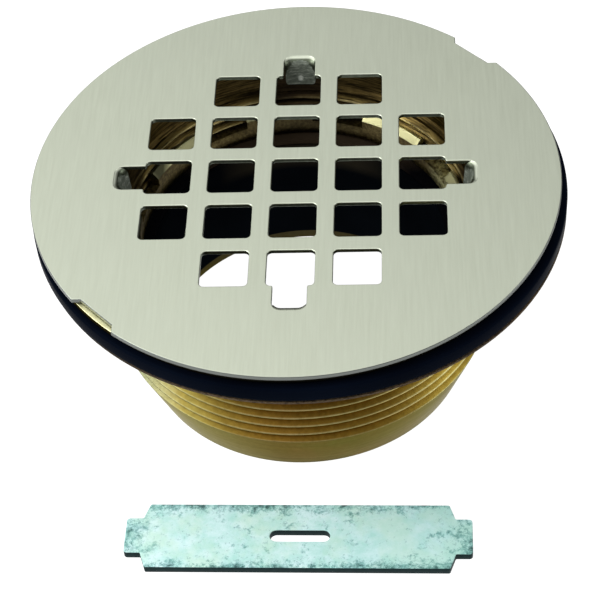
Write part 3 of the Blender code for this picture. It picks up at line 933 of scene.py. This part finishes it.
def make_ring(name, node, body, inner, edge, look, smaller=0.0):
    """Make a washer; one that is smaller than its box stands at the box's right side."""
    x, y, outer, bottom, top = ring_mm(node)
    outer -= smaller
    shape = bmesh.new()
    add_turned(shape, filleted([
        (inner, bottom, 0.1), (outer, bottom, edge), (outer, top, edge), (inner, top, 0.1),
    ]))
    add_piece(name, mesh_of(name, shape), look, body, node, (x + smaller, y))


def make_gasket(look):
    """The gasket stays in its seat."""
    _, _, outer, bottom, top = ring_mm("compression_gasket")
    shape = bmesh.new()
    add_turned(shape, filleted([
        (GASKET_BORE, bottom, GASKET_EDGE), (GASKET_FOOT, bottom, GASKET_EDGE),
        (outer, level(GASKET_SHOULDER), GASKET_SHOULDER_EDGE), (outer, top, GASKET_EDGE),
        (GASKET_BORE, top, GASKET_EDGE),
    ]))
    mesh = mesh_of("gasket_sleeve", shape)
    sleeve = add_piece("gasket_sleeve", mesh, look, "root", "compression_gasket")
    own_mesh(sleeve)


def make_key(look):
    """A flat bar with a tongue at each end and a round-ended slot."""
    low, high = box_mm("tightening_key")
    middle = (low + high) / 2
    right = list(KEY_QUARTER)
    upper = right + [(-x, y, edge) for x, y, edge in reversed(right)]
    outline = filleted(upper + [(x, -y, edge) for x, y, edge in reversed(upper)])
    half = (KEY_SLOT_LENGTH - KEY_SLOT_WIDTH) / 2
    slot = arc((KEY_SLOT_AT + half, 0), KEY_SLOT_WIDTH / 2, 90, -90, KEY_SLOT_STEPS)
    slot += arc((KEY_SLOT_AT - half, 0), KEY_SLOT_WIDTH / 2, -90, -270, KEY_SLOT_STEPS)
    turn = Matrix.Rotation(math.radians(KEY_TURN), 4, "Z")
    shape = bmesh.new()
    add_plate(shape, [outline, slot], low.z, high.z, SHEARED_EDGE, turn)
    mesh = mesh_of("flat_key", shape)
    add_piece("flat_key", mesh, look, "key", "tightening_key", (middle.x, middle.y))


# ---- Studio -------------------------------------------------------------------------------------
def aimed(place, aim):
    """The placing of a camera or light that stands at one place and looks at another."""
    spot = Vector(place)
    turn = (Vector(aim) - spot).to_track_quat("-Z", "Y").to_matrix().to_4x4()
    return Matrix.Translation(spot) @ turn


def make_camera():
    data = bpy.data.cameras.new("camera")
    data.lens = LENS
    data.sensor_width = SENSOR_WIDTH
    camera = bpy.data.objects.new("camera", data)
    roll = Matrix.Rotation(math.radians(CAMERA_ROLL), 4, "Z")
    camera.matrix_world = aimed(CAMERA_PLACE, CAMERA_AIM) @ roll
    bpy.context.collection.objects.link(camera)
    bpy.context.scene.camera = camera


def add_softbox(name, place, power):
    data = bpy.data.lights.new(name, "AREA")
    data.shape = "RECTANGLE"
    data.size = data.size_y = SOFTBOX_SIZE
    data.energy = power
    light = bpy.data.objects.new(name, data)
    light.matrix_world = aimed(place, SOFTBOX_AIM)
    bpy.context.collection.objects.link(light)


def make_world():
    """A soft sky that is brightest overhead and on the left, and dark at the horizon."""
    world = bpy.data.worlds.new("studio")
    bpy.context.scene.world = world
    world.use_nodes = True
    tree = world.node_tree
    where = tree.nodes.new("ShaderNodeTexCoord")
    towards = tree.nodes.new("ShaderNodeVectorMath")
    towards.operation = "DOT_PRODUCT"
    towards.inputs[1].default_value = SKY_SLOPE
    tree.links.new(where.outputs["Generated"], towards.inputs[0])
    shade = tree.nodes.new("ShaderNodeMapRange")
    shade.inputs["From Min"].default_value = SKY_DARK - SKY_OFFSET
    shade.inputs["From Max"].default_value = SKY_BRIGHT - SKY_OFFSET
    shade.inputs["To Min"].default_value = SKY_DARK
    shade.inputs["To Max"].default_value = SKY_BRIGHT
    tree.links.new(towards.outputs["Value"], shade.inputs["Value"])
    tree.links.new(shade.outputs["Result"], tree.nodes["Background"].inputs["Strength"])
    tree.nodes["Background"].inputs["Color"].default_value = (1.0, 1.0, 1.0, 1)


def make_floor():
    """A white floor that lights the pieces from below."""
    mesh = bpy.data.meshes.new("floor")
    reach = FLOOR_REACH
    mesh.from_pydata(
        [(-reach, -reach, 0), (reach, -reach, 0), (reach, reach, 0), (-reach, reach, 0)],
        [], [(0, 1, 2, 3)],
    )
    look = Nodes(
        "pale_floor", Roughness=0.9, Base_Color=(0.2, 0.2, 0.2, 1), Specular_IOR_Level=0.0,
        Emission_Color=(1, 1, 1, 1), Emission_Strength=1.0,
    )
    mesh.materials.append(look.material)
    floor = bpy.data.objects.new("floor", mesh)
    floor.location.z = -FLOOR_DROP
    bpy.context.collection.objects.link(floor)


def make_studio():
    bpy.context.scene.view_settings.view_transform = "Standard"
    make_world()
    make_floor()
    add_softbox("left_softbox", *LEFT_SOFTBOX)
    add_softbox("right_softbox", *RIGHT_SOFTBOX)


def main():
    make_camera()
    make_studio()
    make_strainer(brushed_steel(), scratched_steel_painted_shade())
    make_body(body_brass())
    make_nut(nut_brass())
    make_ring(
        "rubber_flange_ring", "flange_gasket", "washers", inner=WASHER_BORE, edge=0.6,
        look=rubber("navy_black_rubber", (0.0015, 0.0026, 0.0060), roughness=0.38, gloss=0.06),
    )
    make_ring(
        "fibre_ring", "friction_washer", "washers", inner=WASHER_BORE, edge=0.15,
        look=fibre(), smaller=WASHER_PLAY,
    )
    make_ring("slip_washer", "slip_ring", "slip", inner=SLIP_BORE, edge=0.2, look=plastic())
    make_gasket(rubber(
        "black_gasket_rubber", (0.0020, 0.0028, 0.0040), roughness=0.6, gloss=0.0,
        back_painted_light=(0.026, 0.022, 0.015),
    ))
    make_key(zinc())


main()
bpy.context.view_layer.update()
